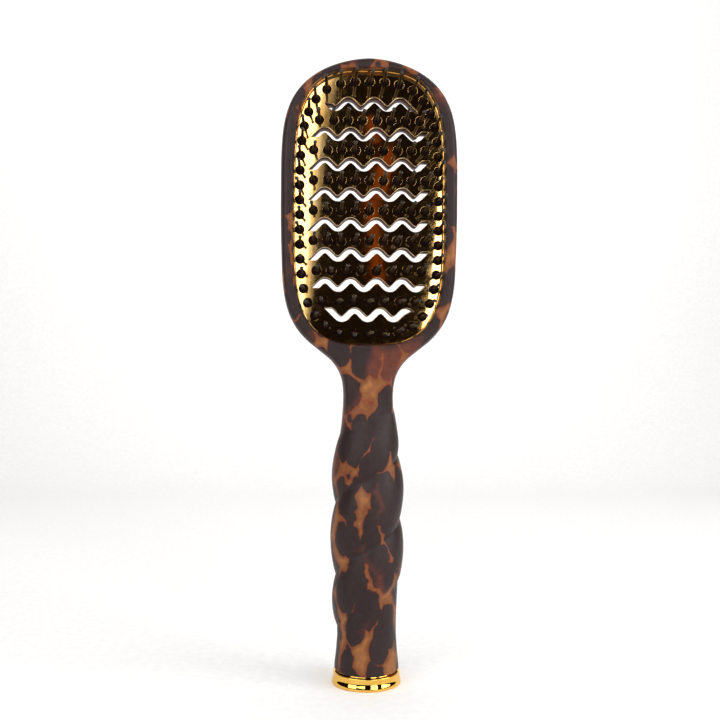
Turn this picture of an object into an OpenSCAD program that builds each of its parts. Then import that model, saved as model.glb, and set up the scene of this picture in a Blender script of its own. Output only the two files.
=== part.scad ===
// Vented vanity hairbrush, standing on its round end cap.
// +Z runs up the handle, the pins point along -Y, and the origin is the centre of the cap's flat base.

/* [Body] */
// Height of the whole brush, from the cap's base to the top of the head
total_h = 235; // [232:0.5:242]
// Width across the head at its widest
head_w = 66.4; // [66:0.1:70]
// Height of the head's widest line above the base
head_mid = 179; // [178:0.5:180]
// Depth of the head, from the front rim to the back
head_d = 12; // [11.5:0.1:13]
// How far the head's middle plane stands in front of the handle's axis
head_forward = 2.5; // [2:0.1:3]
// Width of the rolled edge around the head
edge_roll = 3.4; // [3:0.1:5]

/* [Handle] */
// Height where the handle meets the end cap
handle_start = 5.2; // [5:0.1:6]
// Strands of the twist
twist_starts = 2; // [1:1:2]
// Extra fullness of the twist's lobes
lobe_gain = 1; // [0.5:0.05:1.1]
// Radius of the hollow inside the handle
hollow_r = 9; // [7:0.1:9.2]
// Height where the hollow closes below the head
hollow_top = 101; // [95:1:103]
// Radius of the three bosses that join the two shells
boss_r = 2.6; // [2.2:0.1:3]
// Radius of the pegs inside those bosses
peg_r = 1.22; // [1:0.02:1.24]

/* [Plate] */
// Width of the opening that shows the plate
opening_w = 56.8; // [56:0.1:57.5]
// Height of the opening
opening_h = 103.1; // [102:0.1:104]
// Gap between the plate and the frame, all the way round
plate_gap = 0.3; // [0.2:0.05:0.4]
// Thickness of the plate
plate_t = 1.2; // [1:0.1:1.4]
// How far the plate's face lies behind the front rim
plate_sink = 4; // [3.5:0.1:4.2]
// Radius of each pin hole in the plate
pin_hole_r = 1.8; // [1.75:0.01:1.85]
// Radius of the studs behind the plate
stud_r = 0.9; // [0.7:0.05:0.95]

/* [Air slots] */
// Distance from one slot to the next, and from one pin row to the next
row_pitch = 11.3; // [11.2:0.05:11.4]
// Width of a slot's stroke
slot_w = 2.2; // [1.8:0.1:2.3]
// Length of one full zigzag
zigzag = 9.75; // [9.5:0.05:10]
// Corner radius along the middle of the stroke
zigzag_r = 2.1; // [1.8:0.1:2.2]
// How far the slots sit above the middle between two pin rows
slot_lift = 0.5; // [0:0.1:0.6]

/* [Pins] */
// Length of a pin from the plate's face to its tip
pin_len = 16.5; // [14:0.5:18]
// Radius of the round ball at a pin's tip
ball_r = 0.68; // [0.6:0.02:0.8]
// Radius of a pin's stem at its tip
stem_r = 0.45; // [0.4:0.01:0.5]
// Radius of a pin's foot where it fills the hole in the plate
foot_r = 1.65; // [1.5:0.01:1.7]
// Number of pins in the outer ring
ring_count = 46; // [44:2:46]
// Half width of the ring, on the pins' centres
ring_a = 26.1; // [25.8:0.1:26.2]
// Half height of the ring, on the pins' centres
ring_b = 47.4; // [47:0.1:47.6]
// Half width of the strips that carry the pins
strip_r = 1.7; // [1.65:0.01:1.75]
// Thickness of the strips that carry the pins
strip_t = 1.8; // [1.5:0.1:1.9]

/* [End cap] */
// Radius of the cap at its base
cap_r = 13.15; // [13:0.05:13.4]
// Radius of the cap at its top edge
cap_top_r = 12.6; // [12.4:0.05:12.8]
// Height of the cap's visible band
cap_h = 4.8; // [4.5:0.1:4.9]
// Radius of the spigot that is pressed up into the handle
spigot_r = 8; // [7.5:0.1:8]
// Height of the spigot's top above the base
spigot_top = 12.5; // [11:0.5:12.6]

/* [Hidden] */

tortoise = "#3e2d2d";
gold = "#d9a63c";
nylon = "#15120f";

// Depths along Y
parting = -head_forward;
rim_front = parting - head_d / 2;
plate_face = rim_front + plate_sink;
plate_back = plate_face + plate_t;
strip_back = plate_back + strip_t;
shell_back = parting + head_d / 2;

// Middle height of the opening, of the middle pin row and of the pin ring
oval_z = 179.15;
row_z = 178;
ring_z = 179.1;
through = 1;

// Half width of the lower head and neck: [height, half width]
side_stations = [[98, 9.6], [104, 9.45], [109.8, 9.4], [114.5, 10], [118.5, 11.6], [122.2, 14.5],
    [125.8, 18.9], [129.5, 23.4], [134, 27.2], [140, 30.2], [148.5, 32.1], [160, 32.8], [179, head_w / 2]];
// Radius of the handle between the lobes: [height, radius]
core_stations = [[5, 12.2], [13, 11.5], [21, 11.1], [40, 11.7], [55, 12.1], [65, 11.9], [80, 11.5],
    [90, 10.9], [97, 10], [105, 9.45], [110, 9.4]];
// Height of the lobes over that radius: [height, lobe]
lobe_stations = [[15, 1.9], [50, 1.8], [75, 2.1], [85, 1.7], [93, 1.2], [105, 0.8], [112, 0]];
// Half depth of the body: [height, half depth]
depth_stations = [[90, 10.9], [97, 9.9], [105, 8.6], [114, 7.3], [124, 6.3], [132, head_d / 2]];
// Creases passed on the way down, along the right edge and along the left edge: [height, creases]
right_creases = [[16, 4], [39, 3], [62.5, 2], [86.5, 1], [105, 0], [125, -1]];
left_creases = [[0, 4], [21, 3], [41, 2], [68, 1], [94.5, 0], [119, -1]];
// Heights of the lowest and highest crease at the right and left edges
crease_low = [39, 21];
crease_high = [105, 94.5];
boss_heights = [30, 56, 81];

// The seven pin rows from the top: pins in each, and the distance between them
row_counts = [8, 9, 9, 9, 9, 8, 7];
row_spacings = [5.4, 5.25, 5.25, 5.25, 5.25, 5.65, 5.8];
// The air slots from the top: where each ends on the left and on the right, and how far its zigzag
// is shifted sideways
slot_tips = [[16.9, 18], [22.2, 22.4], [23.1, 23], [23.2, 23.2], [23.3, 23], [22.9, 22.8], [21.8, 21.8],
    [16.8, 17]];
slot_shifts = [-1, -0.1, 0, 0, 0.1, 0.2, 0.3, 1.75];
// Where the middle slots' zigzag has a peak
slot_peak = 2.7;
slot_count = len(slot_tips);
// The four curved strips round the edge: [first pin, pins], counted from the top round to the right
arc_top = [-5, 11];
arc_right = [6, 12];
arc_bottom = [18, 11];
arc_left = [29, 12];
arcs = [arc_top, arc_right, arc_bottom, arc_left];
// The studs behind the plate: distance from the middle line, and heights
stud_x = 8;
stud_heights = [134.9, 222.7];
stud_len = 2.6;
peg_gap = 0.03;

function mix(a, b, t) = a + (b - a) * t;
function smooth(t) = let (u = max(0, min(1, t))) u * u * (3 - 2 * u);

// A smooth curve through a list of stations
function station(z, tab, i = 0) = (i >= len(tab) - 2 || z < tab[i + 1][0]) ? i : station(z, tab, i + 1);
function slope_at(tab, i) = i == 0 || i == len(tab) - 1 ? 0
    : (tab[i + 1][1] - tab[i - 1][1]) / (tab[i + 1][0] - tab[i - 1][0]);
function curve(z, tab) =
    let (i = station(z, tab), a = tab[i], b = tab[i + 1], d = b[0] - a[0])
    let (t = max(0, min(1, (z - a[0]) / d)), t2 = t * t, t3 = t2 * t)
    (2 * t3 - 3 * t2 + 1) * a[1] + (t3 - 2 * t2 + t) * d * slope_at(tab, i)
    + (3 * t2 - 2 * t3) * b[1] + (t3 - t2) * d * slope_at(tab, i + 1);

// Half width of the body, without the lobes
function dome_w(z) = head_w / 2
    * pow(max(0, 1 - pow((z - head_mid) / (total_h - head_mid), 4.9)), 1 / 1.75);
function body_w(z) = z > head_mid ? dome_w(z)
    : z > 104 ? curve(z, side_stations)
    : curve(z, core_stations);
function body_d(z) = z > 90 ? curve(z, depth_stations) : curve(z, core_stations);
function body_y(z) = -head_forward * smooth((z - 92) / 36);
// How much the outline leans, so that the rolled edge keeps its width square to the outline
function lean(z) = let (e = 0.05) sqrt(1 + pow((body_w(z + e) - body_w(z - e)) / (2 * e), 2));

// Creases passed at a height and at an angle that runs from the right edge round the front
function creases(z, u) =
    let (right = curve(z, right_creases), left = curve(z, left_creases), d = right - left, v = u - 180)
    u <= 180 ? mix(right, left, u / 180)
    : left - d * v / 180 - (twist_starts - 2 * d) * (v / 180 - sin(2 * v) / (2 * PI));
// The lobes fade out above the highest crease and below the lowest
function lobe(z, u) =
    let (low = mix(crease_low[0], crease_low[1], (1 - cos(u)) / 2))
    let (high = mix(crease_high[0], crease_high[1], (1 - cos(u)) / 2))
    lobe_gain * curve(z, lobe_stations) * pow(abs(sin(180 * creases(z, u))), 0.75)
    * smooth((z - low) / 6 + 0.5) * smooth((high - z) / 6 + 0.5);

// One half of the body's section, from the right edge to the left: a half ellipse on the handle, which
// turns into a flat face between two rolled edges on the head
roll_steps = 5;
flat_steps = 6;
function ellipse_half(z) = let (n = 2 * roll_steps + flat_steps)
    [for (i = [0 : n]) [body_w(z) * cos(180 * i / n), body_d(z) * sin(180 * i / n)]];
function slab_half(z) =
    let (w = body_w(z), d = body_d(z), roll = edge_roll * lean(z))
    let (turn = acos(max(0, 1 - 0.85 * w / roll)))
    let (edge = [for (i = [0 : roll_steps]) let (a = turn * i / roll_steps)
        [w - roll * (1 - cos(a)), d * sin(a)]])
    let (last = edge[roll_steps])
    concat(edge,
        [for (i = [1 : flat_steps - 1]) [mix(last[0], -last[0], i / flat_steps), last[1]]],
        [for (i = [roll_steps : -1 : 0]) [-edge[i][0], edge[i][1]]]);
function half_profile(z) = let (b = smooth((z - 88) / 26), round = ellipse_half(z), slab = slab_half(z))
    [for (i = [0 : len(round) - 1]) mix(round[i], slab[i], b)];
function half_ring(z, side) =
    [for (p = half_profile(z))
        let (a = atan2(p[1], p[0]), u = side < 0 ? a : 360 - a, r = max(0.01, norm(p)))
        let (k = 1 + lobe(z, u) / r)
        [p[0] * k, body_y(z) + side * p[1] * k, z]];

// Heights of the sections: close together on the handle and towards the top of the dome
heights = concat(
    [for (z = [handle_start : 2 : 105]) z],
    [for (z = [107 : 2.5 : 147]) z],
    [for (z = [154 : 8 : 202]) z],
    [for (a = [36 : 6 : 90]) mix(179, total_h - 0.05, sin(a))]);

// A closed solid between rings that all have the same number of points
module loft(rings, side) {
    n = len(rings[0]);
    sides = [for (k = [0 : len(rings) - 2], i = [0 : n - 1])
        let (j = (i + 1) % n, a = k * n + i, b = k * n + j, c = b + n, d = a + n)
        each side < 0 ? [[a, b, c], [a, c, d]] : [[c, b, a], [d, c, a]]];
    bottom = [for (i = [0 : n - 1]) side < 0 ? n - 1 - i : i];
    top = [for (i = [0 : n - 1]) (len(rings) - 1) * n + (side < 0 ? i : n - 1 - i)];
    polyhedron(points = [for (ring = rings) each ring], faces = concat(sides, [bottom, top]));
}

module half_body(side) {
    loft([for (z = heights) half_ring(z, side)], side);
}

// Extrudes a flat shape drawn in X and Z, from the depth y_back forward to y_front
module forward(y_back, y_front) {
    translate([0, y_back, 0]) rotate([90, 0, 0]) linear_extrude(y_back - y_front) children();
}

// The family of ovals that the opening, the plate and the pin ring follow
function oval(a, b, n = 96) = [for (i = [0 : n - 1])
    let (t = 90 - 360 * i / n, c = cos(t), s = sin(t))
    [a * sign(c) * pow(abs(c), 2 / 3), b * sign(s) * pow(abs(s), 2 / 4)]];
module oval_shape(a, b, z) {
    translate([0, z]) polygon(oval(a, b));
}

// A zigzag slot: straight runs at 45 degrees joined by arcs, with the same width all along
function zigzag_corner(k, shift, side) =
    let (up = k % 2 == 0 ? 1 : -1, x = k * zigzag / 2 + slot_peak + shift)
    let (tip = up * (zigzag / 4 - zigzag_r * sqrt(2)))
    [for (a = [-45 : 30 : 45]) let (r = zigzag_r + side * up * slot_w / 2)
        [x + r * sin(a), tip + up * r * cos(a)]];
function zigzag_edge(shift, side) = [for (k = [-6 : 6]) each zigzag_corner(k, shift, side)];
function reversed(list) = [for (i = [len(list) - 1 : -1 : 0]) list[i]];
// The part of the zigzag that one side of a slot keeps: past the last turn the stroke runs on
// straight, and a level cut ends it in a point
module slot_side(j, way) {
    tip = slot_tips[j][way < 0 ? 0 : 1];
    peak = way * (slot_peak + slot_shifts[j]);
    turns = floor((tip - 2.4 - peak) / (zigzag / 2));
    turn_x = peak + turns * zigzag / 2;
    up = turns % 2 == 0 ? 1 : -1;
    reach = zigzag / 4 + slot_w / sqrt(2);
    crest = zigzag / 4 - zigzag_r * sqrt(2) + zigzag_r + slot_w / 2;
    level = max(reach - (tip - turn_x), -crest);
    polygon([for (p = [[-0.5, -4], [turn_x, -4], [turn_x, level], [turn_x + reach - level, level],
            [turn_x + reach - 4, 4], [-0.5, 4]])
        [way * p[0], up * p[1]]]);
}
module air_slot(j) {
    translate([0, row_z + row_pitch * ((slot_count - 1) / 2 - j) + slot_lift])
        intersection() {
            polygon(concat(zigzag_edge(slot_shifts[j], 1), reversed(zigzag_edge(slot_shifts[j], -1))));
            for (way = [-1, 1]) slot_side(j, way);
        }
}

// The hollow that both shells share, open at the bottom for the cap's spigot
module handle_hollow() {
    rotate_extrude() polygon([[0, handle_start - through], [spigot_r, handle_start - through],
        [spigot_r, spigot_top + 0.5], [hollow_r, spigot_top + 1.5], [hollow_r, 82],
        [hollow_r / 2, hollow_top - 2], [0, hollow_top]]);
}

module boss(side, radius, length) {
    for (z = boss_heights)
        translate([0, 0, z]) rotate([-90 * side, 0, 0]) cylinder(r = radius, h = length, $fn = 32);
}

// Front half of the handle and neck, and the frame around the plate
module front_shell() {
    color(tortoise) difference() {
        union() {
            difference() {
                half_body(-1);
                handle_hollow();
            }
            boss(-1, boss_r, hollow_r + 0.5);
        }
        forward(through, rim_front - through) oval_shape(opening_w / 2, opening_h / 2, oval_z);
        translate([0, 0.01, 0]) boss(-1, peg_r + peg_gap, hollow_r - 1.5);
    }
}

// Back half of the handle, with the seat for the plate, the pin strips' channels and the air slots
module back_shell() {
    color(tortoise) difference() {
        union() {
            difference() {
                half_body(1);
                handle_hollow();
            }
            boss(1, boss_r, hollow_r + 0.5);
            boss(-1, peg_r, hollow_r - 2.5);
            forward(parting + 0.5, plate_back)
                oval_shape(opening_w / 2 - plate_gap, opening_h / 2 - plate_gap, oval_z);
        }
        forward(strip_back, plate_back - through) {
            for (arc = arcs) arc_strip(arc);
            for (i = [1 : 7]) strip_shape(i);
        }
        forward(shell_back + through, plate_back - through)
            for (j = [0 : slot_count - 1]) air_slot(j);
        forward(plate_back + stud_len + 0.2, plate_back - through) studs(stud_r);
    }
}

module studs(radius) {
    for (x = [-stud_x, stud_x], z = stud_heights) translate([x, z]) circle(r = radius, $fn = 24);
}

// Height of one pin row, counted from the top
function row_height(i) = row_z + row_pitch * (4 - i);
function row_xs(i) = let (n = row_counts[i - 1])
    [for (k = [0 : n - 1]) (k - (n - 1) / 2) * row_spacings[i - 1]];

// Pin places round the ring, the same distance apart along the oval
ring_line = oval(ring_a, ring_b, 360);
ring_steps = [for (i = [0 : 359]) norm(ring_line[(i + 1) % 360] - ring_line[i])];
ring_walk = [for (i = 0, s = 0; i <= 360; s = s + (i < 360 ? ring_steps[i] : 0), i = i + 1) s];
ring_xs = [for (i = [0 : 360]) [ring_walk[i], ring_line[i % 360][0]]];
ring_zs = [for (i = [0 : 360]) [ring_walk[i], ring_line[i % 360][1]]];
ring_places = [for (k = [0 : ring_count - 1]) let (s = ring_walk[360] * k / ring_count)
    [lookup(s, ring_xs), ring_z + lookup(s, ring_zs)]];

module strip_shape(i) {
    half = -row_xs(i)[0];
    translate([0, row_height(i)]) {
        square([2 * half, 2 * strip_r], center = true);
        for (x = [-half, half]) translate([x, 0]) circle(r = strip_r, $fn = 32);
    }
}

// A curved strip that follows the ring from pin to pin, with round ends
function ring_place(k) = ring_places[(k + ring_count) % ring_count];
function ring_side(k, side) =
    let (step = ring_place(k + 1) - ring_place(k - 1))
    ring_place(k) + side * strip_r * [step[1], -step[0]] / norm(step);
module arc_strip(arc) {
    last = arc[0] + arc[1] - 1;
    polygon(concat([for (k = [arc[0] : last]) ring_side(k, 1)],
        [for (k = [last : -1 : arc[0]]) ring_side(k, -1)]));
    for (k = [arc[0], last]) translate(ring_place(k)) circle(r = strip_r, $fn = 32);
}

// Thin gold plate with its pin holes, its air slots and the studs that hold it
module vent_plate() {
    color(gold) {
        difference() {
            forward(plate_back, plate_face)
                oval_shape(opening_w / 2 - plate_gap, opening_h / 2 - plate_gap, oval_z);
            forward(plate_back + through, plate_face - through)
                for (j = [0 : slot_count - 1]) air_slot(j);
            for (p = ring_places) hole(p[0], p[1]);
            for (i = [1 : 7], x = row_xs(i)) hole(x, row_height(i));
        }
        forward(plate_back + stud_len, plate_back - 0.2) studs(stud_r - 0.02);
    }
}

module hole(x, z) {
    translate([x, plate_back + through, z]) rotate([90, 0, 0])
        cylinder(r = pin_hole_r, h = plate_t + 2 * through, $fn = 32);
}

// One pin: a round foot that fills the hole, a tapered stem and a ball
module pin(x, z) {
    ball_z = plate_t + pin_len - ball_r;
    stem_z = ball_z - sqrt(ball_r * ball_r - stem_r * stem_r);
    translate([x, plate_back, z]) rotate([90, 0, 0]) rotate_extrude($fn = 24)
        polygon(concat(
            [[0, -0.3], [foot_r, -0.3], [foot_r, plate_t + 0.2], [1.2, plate_t + 0.5],
                [0.7, plate_t + 0.9], [stem_r, stem_z]],
            [for (a = [-30 : 30 : 60]) [ball_r * cos(a), ball_z + ball_r * sin(a)]],
            [[0, ball_z + ball_r]]));
}

module pin_arc(arc) {
    color(nylon) {
        forward(strip_back, plate_back) arc_strip(arc);
        for (k = [arc[0] : arc[0] + arc[1] - 1]) pin(ring_place(k)[0], ring_place(k)[1]);
    }
}

module pin_row(i) {
    color(nylon) {
        forward(strip_back, plate_back) strip_shape(i);
        for (x = row_xs(i)) pin(x, row_height(i));
    }
}

// Gold end cap with a hollow spigot
module end_cap() {
    edge = 1;
    color(gold) rotate_extrude() polygon(concat(
        [[0, 0]],
        [for (a = [-90 : 30 : 0]) [cap_r - edge + edge * cos(a), edge + edge * sin(a)]],
        [[cap_top_r, cap_h - 0.3], [cap_top_r - 0.3, cap_h], [11.4, cap_h], [11.4, handle_start],
            [spigot_r - 0.02, handle_start], [spigot_r - 0.02, spigot_top], [6.2, spigot_top],
            [6.2, 2.2], [0, 2.2]]));
}

front_shell();
back_shell();
vent_plate();
pin_arc(arc_top);  // pin_arc_top
pin_arc(arc_right);  // pin_arc_right
pin_arc(arc_bottom);  // pin_arc_bottom
pin_arc(arc_left);  // pin_arc_left
pin_row(1);  // pin_row_1
pin_row(2);  // pin_row_2
pin_row(3);  // pin_row_3
pin_row(4);  // pin_row_4
pin_row(5);  // pin_row_5
pin_row(6);  // pin_row_6
pin_row(7);  // pin_row_7
end_cap();
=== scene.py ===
# %% [markdown]
# # A vanity hairbrush, built piece by piece
# The brush stands on its end cap. Two moulded tortoise-shell halves make the body, a mirror-bright
# gold plate sits in the head, black pins come through it, and a gold cap closes the handle.
# Everything is measured in millimetres while it is worked out, and turned to metres in the mesh.
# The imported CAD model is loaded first, because each piece made here takes the place of one of its parts.

# %% Load the frame and the tools
import math
import bmesh
import bpy
import numpy as np
from mathutils import Matrix, Vector
from mathutils.geometry import delaunay_2d_cdt


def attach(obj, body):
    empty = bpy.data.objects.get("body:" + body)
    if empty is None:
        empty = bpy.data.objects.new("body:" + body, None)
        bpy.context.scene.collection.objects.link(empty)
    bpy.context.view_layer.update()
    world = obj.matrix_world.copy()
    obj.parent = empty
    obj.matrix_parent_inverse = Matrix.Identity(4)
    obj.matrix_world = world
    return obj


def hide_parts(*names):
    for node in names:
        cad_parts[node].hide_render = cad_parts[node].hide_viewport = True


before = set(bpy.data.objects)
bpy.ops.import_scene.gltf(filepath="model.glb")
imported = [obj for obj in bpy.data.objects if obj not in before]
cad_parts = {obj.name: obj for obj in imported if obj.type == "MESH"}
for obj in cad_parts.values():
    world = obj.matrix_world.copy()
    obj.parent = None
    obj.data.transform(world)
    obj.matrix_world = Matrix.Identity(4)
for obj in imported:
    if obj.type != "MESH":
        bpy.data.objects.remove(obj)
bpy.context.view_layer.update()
MM = 0.001

# %% [markdown]
# ## Small helpers
# One function adds a node to any tree, with its settings and links, so that each tree below reads
# as a list of what it is made of. Another turns an sRGB hex colour into the linear one Blender uses.
# The rest start a material, put a mesh in the scene, and tie a piece to the CAD part it stands for.

# %% Helpers for nodes, colours and meshes
def add(tree, kind, inputs=None, **settings):
    """Adds one node. Inputs go by name or number, and a node or socket given as a value is linked."""
    made = tree.nodes.new(kind)
    for name, value in settings.items():
        setattr(made, name, value)
    for name, value in (inputs or {}).items():
        if isinstance(value, bpy.types.Node):
            tree.links.new(value.outputs[0], made.inputs[name])
        elif isinstance(value, bpy.types.NodeSocket):
            tree.links.new(value, made.inputs[name])
        else:
            made.inputs[name].default_value = value
    return made


def maths(tree, operation, *values):
    """Adds one Math node, with its values in order."""
    return add(tree, "ShaderNodeMath", dict(enumerate(values)), operation=operation)


def colour(code):
    """An sRGB hex colour as linear red, green, blue and alpha."""
    parts = [int(code[i:i + 2], 16) / 255 for i in (1, 3, 5)]
    return [p / 12.92 if p <= 0.04045 else ((p + 0.055) / 1.055) ** 2.4 for p in parts] + [1]


def ramp(node, *stops):
    """Sets a colour ramp's stops, each a place from 0 to 1 and a hex colour."""
    marks = node.color_ramp.elements
    while len(marks) < len(stops):
        marks.new(0.5)
    for mark, (place, code) in zip(marks, stops):
        mark.position = place
        mark.color = colour(code)
    return node


def new_material(name):
    """Starts a material. Returns it, its tree, its shader and the object's own coordinates."""
    made = bpy.data.materials.new(name)
    made.use_nodes = True
    tree = made.node_tree
    where = add(tree, "ShaderNodeTexCoord").outputs["Object"]
    return made, tree, tree.nodes["Principled BSDF"], where


def put_in_scene(name, data):
    """An object for this mesh, lamp or camera, linked to the scene."""
    made = bpy.data.objects.new(name, data)
    bpy.context.scene.collection.objects.link(made)
    return made


# Points closer than the first are one point, and edges shorter than the second are none, in metres.
SAME_POINT, NO_EDGE = 1e-6, 1e-7


def to_mesh(name, points, faces, material):
    """A smooth mesh object from points in millimetres, with doubled points merged."""
    mesh = bpy.data.meshes.new(name)
    mesh.from_pydata((np.asarray(points, float) * MM).tolist(), [], faces)
    work = bmesh.new()
    work.from_mesh(mesh)
    bmesh.ops.remove_doubles(work, verts=work.verts, dist=SAME_POINT)
    bmesh.ops.dissolve_degenerate(work, edges=work.edges, dist=NO_EDGE)
    bmesh.ops.recalc_face_normals(work, faces=work.faces)
    work.to_mesh(mesh)
    work.free()
    mesh.shade_smooth()
    mesh.materials.append(material)
    piece = put_in_scene(name, mesh)
    print(name, "has", len(mesh.polygons), "faces")
    return piece


def place(piece, slot, *nodes):
    """The piece stands for these CAD nodes and goes with the one body."""
    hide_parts(*nodes)
    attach(piece, "root")


# %% [markdown]
# ## The tortoise-shell plastic
# The body is ABS with a printed tortoise-shell film under a soft-touch lacquer. The lacquer makes it
# matt, with a faint grey bloom where it is seen edge on. The pattern is what is left over between
# round dark blots: amber islands with hollow sides and thin bridges, longer than they are wide.
# A Voronoi texture gives exactly that, as the places that are far from every blot's centre.

# %% Tortoise-shell material
def tortoise_shell():
    """Soft-touch lacquer over a tortoise-shell film: matt, warm brown, amber islands, red-brown rims."""
    made, tree, shader, where = new_material("tortoise_soft_touch_lacquer")
    # The blots are about 7 mm wide and 12 mm tall, and their edges wander by about 1.5 mm.
    wander = add(tree, "ShaderNodeTexNoise",
                 {"Vector": where, "Scale": 130, "Detail": 2, "Roughness": 0.5})
    shift = add(tree, "ShaderNodeVectorMath", {0: wander.outputs["Color"], 1: (0.5, 0.5, 0.5)},
                operation="SUBTRACT")
    shift = add(tree, "ShaderNodeVectorMath", {0: shift, "Scale": 0.0052}, operation="SCALE")
    moved = add(tree, "ShaderNodeVectorMath", {0: where, 1: shift}, operation="ADD")
    squashed = add(tree, "ShaderNodeVectorMath", {0: moved, 1: (1, 1, 0.56)}, operation="MULTIPLY")
    blots = add(tree, "ShaderNodeTexVoronoi", {"Vector": squashed, "Scale": 150, "Randomness": 1.0})
    drift = add(tree, "ShaderNodeTexNoise", {"Vector": squashed, "Scale": 60, "Detail": 2})
    drift = maths(tree, "MULTIPLY", drift, 0.30)
    depth = maths(tree, "ADD", blots, drift)
    film = ramp(add(tree, "ShaderNodeValToRGB", {0: depth}),
                (0.0, "#251a1c"), (0.770, "#2b1d1b"), (0.790, "#70301e"), (0.808, "#6e3d20"),
                (0.90, "#7b4b27"), (1.0, "#8d5b33"))
    # A second, weaker layer of blots shows as red-brown clouds in the dark.
    clouds = add(tree, "ShaderNodeTexVoronoi", {"Vector": squashed, "Scale": 74, "Randomness": 1.0})
    cloud = add(tree, "ShaderNodeMapRange",
                {"Value": clouds, "From Min": 0.66, "From Max": 0.84, "To Max": 0.45})
    clouded = add(tree, "ShaderNodeMix", {0: cloud.outputs[0], 6: film, 7: colour("#7a3a26")},
                  data_type="RGBA", blend_type="LIGHTEN")
    # The film's own cloudiness, about 2 mm across, and specks of a quarter of a millimetre.
    haze = add(tree, "ShaderNodeTexNoise", {"Vector": where, "Scale": 520, "Detail": 4})
    haze = ramp(add(tree, "ShaderNodeValToRGB", {0: haze}), (0.35, "#e4dfdf"), (0.65, "#ffffff"))
    tinted = add(tree, "ShaderNodeMix", {0: 1.0, 6: clouded.outputs[2], 7: haze},
                 data_type="RGBA", blend_type="MULTIPLY")
    dust = add(tree, "ShaderNodeTexVoronoi", {"Vector": where, "Scale": 700, "Randomness": 1.0})
    dust = add(tree, "ShaderNodeMapRange",
               {"Value": dust, "From Min": 0.06, "From Max": 0.10, "To Min": 0.5, "To Max": 0.0})
    speckled = add(tree, "ShaderNodeMix",
                   {0: dust.outputs[0], 6: tinted.outputs[2], 7: colour("#5e3a30")}, data_type="RGBA")
    tree.links.new(speckled.outputs[2], shader.inputs["Base Color"])
    # The lacquer's grain is finer than a fifth of a millimetre; it is drawn at a third so it shows.
    grain = add(tree, "ShaderNodeTexNoise", {"Vector": where, "Scale": 3000, "Detail": 2})
    satin = add(tree, "ShaderNodeMapRange", {"Value": grain, "To Min": 0.40, "To Max": 0.54})
    tree.links.new(satin.outputs[0], shader.inputs["Roughness"])
    bump = add(tree, "ShaderNodeBump", {"Height": grain, "Strength": 0.12, "Distance": 0.00006})
    tree.links.new(bump.outputs[0], shader.inputs["Normal"])
    shader.inputs["IOR"].default_value = 1.5
    shader.inputs["Specular IOR Level"].default_value = 0.2
    shader.inputs["Sheen Weight"].default_value = 0.06
    shader.inputs["Sheen Roughness"].default_value = 0.45
    shader.inputs["Sheen Tint"].default_value = colour("#b9a3a6")
    return made


def slot_wall_painted_backlight():
    """Unprinted ABS inside the slots, matt, with faint marks from the mould. Its light mauve-brown is
    painted light: the light from behind the brush falling on the slot walls.
    """
    made, tree, shader, where = new_material("abs_unprinted_painted_backlight")
    cloud = add(tree, "ShaderNodeTexNoise", {"Vector": where, "Scale": 600, "Detail": 3})
    # Painted light: this light mauve-brown stands in for the light from behind that falls on the slot
    # walls.
    tone = ramp(add(tree, "ShaderNodeValToRGB", {0: cloud}), (0.3, "#7d6562"), (0.7, "#8d7472"))
    tree.links.new(tone.outputs[0], shader.inputs["Base Color"])
    satin = add(tree, "ShaderNodeMapRange", {"Value": cloud, "To Min": 0.45, "To Max": 0.6})
    tree.links.new(satin.outputs[0], shader.inputs["Roughness"])
    bump = add(tree, "ShaderNodeBump", {"Height": cloud, "Strength": 0.1, "Distance": 0.0001})
    tree.links.new(bump.outputs[0], shader.inputs["Normal"])
    return made


tortoise, backlit_slot_paint = tortoise_shell(), slot_wall_painted_backlight()
print("made", tortoise.name, "and", backlit_slot_paint.name)

# %% [markdown]
# ## The gold finishes
# The plate and the cap are plastic with a vacuum-metallised gold coat. The coat is thinner than a
# hair, so it copies the moulding under it: nearly a mirror, but with a very slight ripple, and tiny
# pits that catch the light. A metal keeps the default IOR, and its colour is that of its mirror.

# %% Gold materials
def gold_coat(name, light, deep, ripple, softness):
    """Vacuum-metallised gold: mirror-bright, with a slow ripple and small pits."""
    made, tree, shader, where = new_material(name)
    tone = add(tree, "ShaderNodeTexNoise", {"Vector": where, "Scale": 160, "Detail": 4})
    tone = ramp(add(tree, "ShaderNodeValToRGB", {0: tone}), (0.3, light), (0.7, deep))
    tree.links.new(tone.outputs[0], shader.inputs["Base Color"])
    # The ripple's waves are about 4 mm long. The pits are under a millimetre across.
    wave = add(tree, "ShaderNodeTexNoise",
               {"Vector": where, "Scale": 250, "Detail": 2, "Roughness": 0.4})
    pits = add(tree, "ShaderNodeTexVoronoi", {"Vector": where, "Scale": 900, "Randomness": 1.0},
               feature="SMOOTH_F1")
    pits = add(tree, "ShaderNodeMapRange", {"Value": pits, "From Max": 0.35, "To Max": 0.10})
    height = maths(tree, "ADD", wave, pits)
    bump = add(tree, "ShaderNodeBump", {"Height": height, "Strength": ripple, "Distance": 0.0002})
    tree.links.new(bump.outputs[0], shader.inputs["Normal"])
    worn = add(tree, "ShaderNodeTexNoise", {"Vector": where, "Scale": 420, "Detail": 5})
    worn = add(tree, "ShaderNodeMapRange",
               {"Value": worn, "From Min": 0.35, "From Max": 0.7,
                "To Min": softness * 0.7, "To Max": softness * 1.6})
    tree.links.new(worn.outputs[0], shader.inputs["Roughness"])
    shader.inputs["Metallic"].default_value = 1.0
    return made


plate_gold = gold_coat("gold_metallised_plate", "#f8cf8c", "#f0bb66", 0.012, 0.05)
cap_gold = gold_coat("gold_metallised_cap", "#f6c865", "#eeb54c", 0.008, 0.05)
print("made", plate_gold.name, "and", cap_gold.name)

# %% [markdown]
# ## The pins' nylon
# The pins are injection moulded in black nylon, with matt stems and polished balls. Flow marks make
# the finish slightly uneven, and thin places let a little brown through. One function makes both
# finishes, because they differ only in how rough they are and how much light they throw back.

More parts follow.
